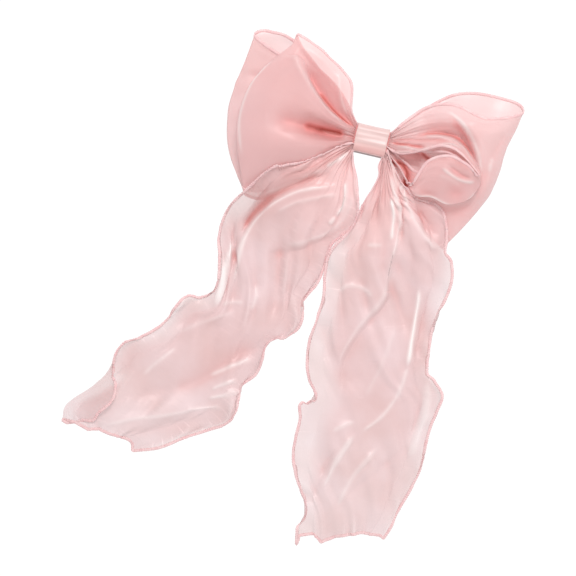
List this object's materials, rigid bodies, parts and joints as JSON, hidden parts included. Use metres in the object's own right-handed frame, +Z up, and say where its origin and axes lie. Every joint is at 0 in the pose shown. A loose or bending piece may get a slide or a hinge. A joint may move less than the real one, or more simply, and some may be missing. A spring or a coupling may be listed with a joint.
{
  "type": "alligator hair clip",
  "caption": "Large soft organza ribbon bow with long trailing tails and a satin band, on a flat steel alligator hair clip with a sprung toothed jaw.",
  "frame": {"origin": "centre of the underside of the lever's finger pad, where the clip lies on a table", "axes": "+X along the clip from the jaws to the finger lever, +Y towards the tops of the loops and away from the tails, +Z up from the clip to the bow"},
  "size_m": [0.2436, 0.3203, 0.0357],
  "materials": {
    "clip_steel": "satin",
    "pin_steel": "satin",
    "spring_steel": "satin",
    "glue": "gloss",
    "satin": "satin",
    "organza": "satin",
    "rear_organza": "satin",
    "hem": "matte",
    "thread": "matte"
  },
  "bodies": {
    "clip_and_bow": {"upper_arm": "clip_steel", "pivot_pin": "pin_steel", "torsion_spring": "spring_steel", "glue_pad": "glue", "gathered_core": "rear_organza", "gathering_thread": "thread", "knot_band": "satin", "left_rear_loop": "rear_organza", "left_front_loop": "organza", "right_rear_loop": "rear_organza", "right_front_loop": "organza", "left_tail": "organza", "right_tail": "organza", "left_rear_hem": "hem", "left_front_hem": "hem", "right_rear_hem": "hem", "right_front_hem": "hem", "left_tail_hem": "hem", "right_tail_hem": "hem"},
    "jaw": {"lower_jaw": "clip_steel"}
  },
  "joints": [
    {"name": "jaw_hinge", "type": "hinge", "parent": "clip_and_bow", "child": "jaw", "pos_m": [-0.018, 0, 0.006], "axis": [0, -1, 0], "range_deg": [0, 20], "stiffness_Nm_per_rad": 0.02, "springref_deg": -45.84, "deforming": ["torsion_spring"]}
  ]
}
